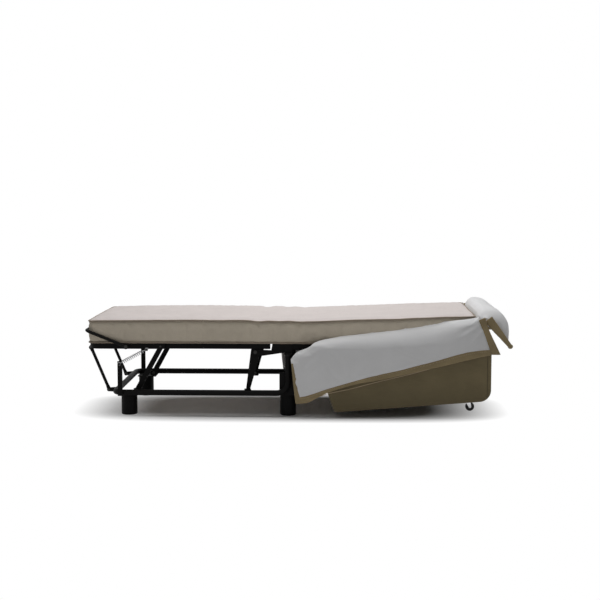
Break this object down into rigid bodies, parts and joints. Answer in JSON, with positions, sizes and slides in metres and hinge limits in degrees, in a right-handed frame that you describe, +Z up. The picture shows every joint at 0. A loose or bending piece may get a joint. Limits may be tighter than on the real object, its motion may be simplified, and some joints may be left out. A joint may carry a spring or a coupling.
{
  "type": "convertible chair bed",
  "caption": "Single chair bed opened flat: slatted folding frame on block legs, rear castors under a storage shell, long mattress, spring-balanced back and a loose side cover.",
  "frame": {"origin": "centre of the footprint on the floor", "axes": "+X from the foot end to the head end, +Y across from the near side to the far side, +Z up"},
  "size_m": [2.17, 0.824, 0.562],
  "materials": {
    "frame_black": "satin black paint",
    "leg_black": "matte",
    "spring_steel": "dull",
    "pin_steel": "zinc plated",
    "castor_metal": "polished",
    "wheel_grey": "matte",
    "mattress_cloth": "woven upholstery",
    "cover_cloth": "woven upholstery",
    "cover_lining": "smooth pale lining",
    "hem_cloth": "folded hem",
    "slat_wood": "plain",
    "cap_rubber": "matte"
  },
  "bodies": {
    "base": {"base_rail_left": "frame_black", "base_rail_right": "frame_black", "base_front_tube": "frame_black", "base_rear_tube": "frame_black", "spring_post_left": "frame_black", "spring_post_right": "frame_black", "leg_brackets": "frame_black", "rear_arm_brackets": "frame_black", "leg_front_left": "leg_black", "leg_front_right": "leg_black", "leg_rear_left": "leg_black", "leg_rear_right": "leg_black", "leg_bolts": "pin_steel", "post_caps": "cap_rubber", "base_pivot_pins": "pin_steel"},
    "rear_arms": {"rear_arm_left": "frame_black", "rear_arm_right": "frame_black", "rear_arm_crossbar": "frame_black"},
    "seat_frame": {"seat_rail_left": "frame_black", "seat_rail_right": "frame_black", "seat_crossbars": "frame_black", "seat_slats": "slat_wood", "seat_pivot_pins": "pin_steel", "mattress_fold_front": "mattress_cloth", "mattress_seat": "mattress_cloth", "mattress_fold_rear": "mattress_cloth"},
    "front_arms": {"front_arm_left": "frame_black", "front_arm_right": "frame_black", "front_arm_crossbar": "frame_black"},
    "foot_frame": {"foot_frame_tube": "frame_black", "foot_slats": "slat_wood", "foot_frame_studs": "pin_steel", "mattress_foot": "mattress_cloth"},
    "foot_links": {"foot_link_left": "frame_black", "foot_link_right": "frame_black"},
    "springs": {"spring_left": "spring_steel", "spring_right": "spring_steel"},
    "back": {"back_rail_left": "frame_black", "back_rail_right": "frame_black", "back_hinge_arm_left": "frame_black", "back_hinge_arm_right": "frame_black", "back_crossbars": "frame_black", "back_slats": "slat_wood", "back_stop_brackets": "frame_black", "back_shell": "cover_cloth", "back_board": "slat_wood", "back_ribs": "slat_wood", "castor_sockets": "castor_metal", "mattress_head": "mattress_cloth", "head_pad": "mattress_cloth", "cover_flap_left": "cover_lining", "cover_flap_right": "cover_lining", "cover_hems": "hem_cloth", "head_cover": "cover_lining"},
    "mattress_bow": {"mattress_bow": "frame_black"},
    "castor_left": {"castor_fork_left": "castor_metal"},
    "castor_right": {"castor_fork_right": "castor_metal"},
    "wheel_left": {"castor_wheel_left": "wheel_grey"},
    "wheel_right": {"castor_wheel_right": "wheel_grey"}
  },
  "joints": [
    {"name": "rear_arm_swing", "type": "hinge", "parent": "base", "child": "rear_arms", "pos_m": [-0.258, 0, 0.124], "axis": [0, -1, 0], "range_deg": [0, 22.1]},
    {"name": "seat_level", "type": "hinge", "parent": "rear_arms", "child": "seat_frame", "pos_m": [-0.216, 0, 0.33], "axis": [0, -1, 0], "range_deg": [-25.4, 0]},
    {"name": "back_recline", "type": "hinge", "parent": "seat_frame", "child": "back", "pos_m": [-0.216, 0, 0.33], "axis": [0, -1, 0], "range_deg": [0, 66], "deforming": ["mattress_fold_rear"]},
    {"name": "front_arm_swing", "type": "hinge", "parent": "base", "child": "front_arms", "pos_m": [-0.831, 0, 0.124], "axis": [0, -1, 0], "range_deg": [0, 18]},
    {"name": "foot_tilt", "type": "hinge", "parent": "seat_frame", "child": "foot_frame", "pos_m": [-0.7, 0, 0.36], "axis": [0, -1, 0], "range_deg": [0, 14.5], "deforming": ["mattress_fold_front"]},
    {"name": "foot_link_swing", "type": "hinge", "parent": "base", "child": "foot_links", "pos_m": [-0.983, 0, 0.123], "axis": [0, -1, 0], "range_deg": [0, 19.4]},
    {"name": "spring_swing", "type": "hinge", "parent": "base", "child": "springs", "pos_m": [-0.904, 0, 0.277], "axis": [0, -1, 0], "range_deg": [0, 25.7], "deforming": ["spring_left", "spring_right"]},
    {"name": "bow_tilt", "type": "hinge", "parent": "foot_frame", "child": "mattress_bow", "pos_m": [-0.874, 0, 0.361], "axis": [0, -1, 0], "range_deg": [0, 21]},
    {"name": "castor_swivel_left", "type": "hinge", "parent": "back", "child": "castor_left", "pos_m": [0.885, -0.15, 0.076], "axis": [0, 0, 1], "continuous": true},
    {"name": "castor_roll_left", "type": "hinge", "parent": "castor_left", "child": "wheel_left", "pos_m": [0.9, -0.15, 0.023], "axis": [0, 1, 0], "continuous": true},
    {"name": "castor_swivel_right", "type": "hinge", "parent": "back", "child": "castor_right", "pos_m": [0.885, 0.15, 0.076], "axis": [0, 0, 1], "continuous": true},
    {"name": "castor_roll_right", "type": "hinge", "parent": "castor_right", "child": "wheel_right", "pos_m": [0.9, 0.15, 0.023], "axis": [0, 1, 0], "continuous": true}
  ],
  "couplings": [
    {"joint": "rear_arm_swing", "follows": "back_recline", "ratio": 0.33333},
    {"joint": "seat_level", "follows": "back_recline", "ratio": -0.38293},
    {"joint": "front_arm_swing", "follows": "back_recline", "ratio": 0.27047},
    {"joint": "foot_tilt", "follows": "back_recline", "ratio": 0.21683},
    {"joint": "foot_link_swing", "follows": "back_recline", "ratio": 0.29237},
    {"joint": "spring_swing", "follows": "back_recline", "ratio": 0.38734}
  ]
}
